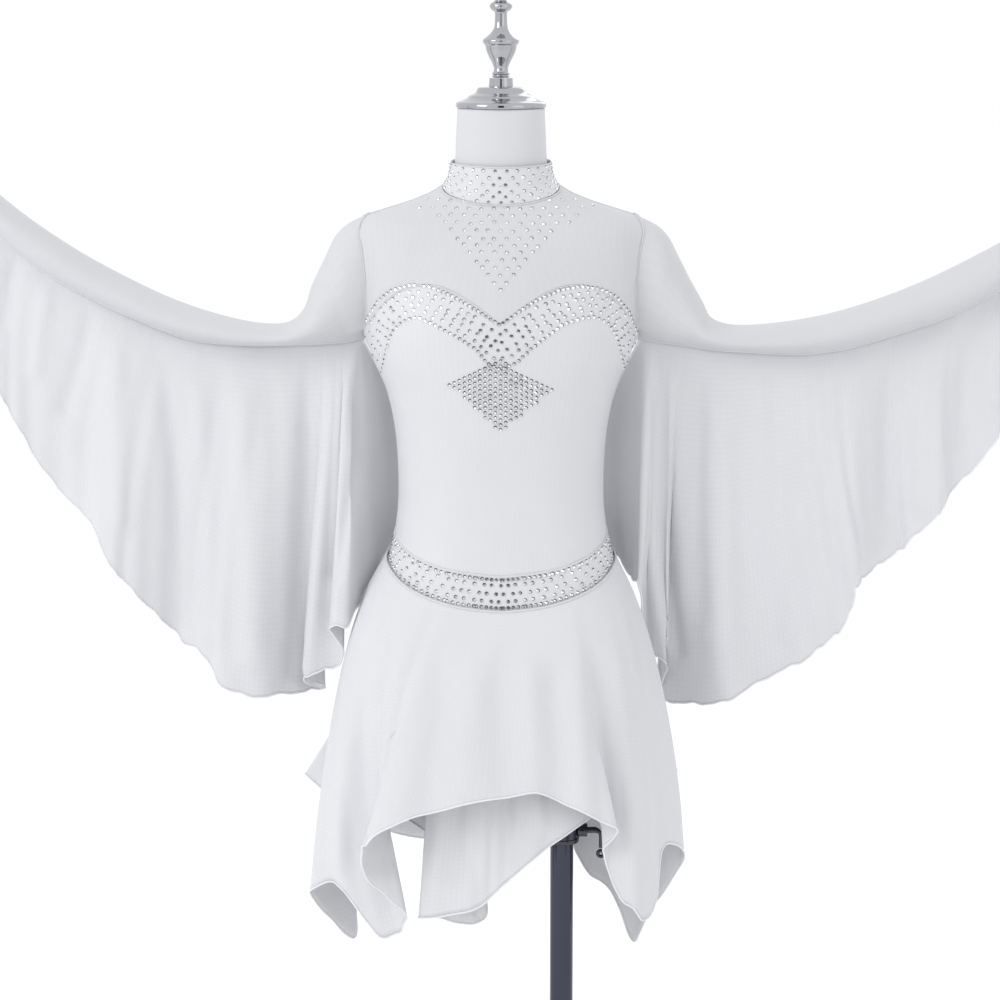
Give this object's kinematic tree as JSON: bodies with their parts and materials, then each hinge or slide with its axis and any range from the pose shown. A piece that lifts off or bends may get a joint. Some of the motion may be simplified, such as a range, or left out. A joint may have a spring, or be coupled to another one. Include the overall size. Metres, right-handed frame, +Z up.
{
  "type": "figure skating dress on dress form",
  "caption": "White high-necked skating dress with sheer yoke, winged chiffon sleeves and handkerchief skirts, on a limbless dress form with a chrome stand",
  "frame": {"origin": "on the floor, at the middle of the bounding box of the whole object", "axes": "+Z up the stand, +X towards the wearer's left wrist, the front of the dress faces -Y"},
  "size_m": [1.2089, 0.38, 1.575],
  "materials": {
    "mesh": "sheer stretch mesh, matte",
    "spandex": "opaque stretch knit, soft sheen",
    "chiffon": "layered chiffon, matte, slightly see-through",
    "form_cloth": "smooth light grey-white cover",
    "chrome": "polished"
  },
  "bodies": {
    "stand": {"base": "chrome", "pole": "chrome", "clamp_collar": "chrome"},
    "dressed_form": {"collar": "mesh", "yoke_front": "mesh", "yoke_back": "mesh", "bodice_front": "spandex", "bodice_back": "spandex", "waist_band": "spandex", "brief": "spandex", "skirt_outer": "chiffon", "skirt_under": "chiffon", "sleeve_left": "mesh", "sleeve_right": "mesh", "wing_left": "chiffon", "wing_right": "chiffon", "form_torso": "form_cloth", "neck_cap": "chrome", "finial": "chrome", "mast": "chrome"},
    "lever": {"clamp_lever": "chrome"}
  },
  "joints": [
    {"name": "mast_height", "type": "slide", "parent": "stand", "child": "dressed_form", "axis": [0, 0, 1], "range_m": [-0.09, 0.15]},
    {"name": "clamp_turn", "type": "hinge", "parent": "stand", "child": "lever", "pos_m": [0.09, 0, 0.641], "axis": [1, 0, 0], "range_deg": [-90, 0]}
  ]
}
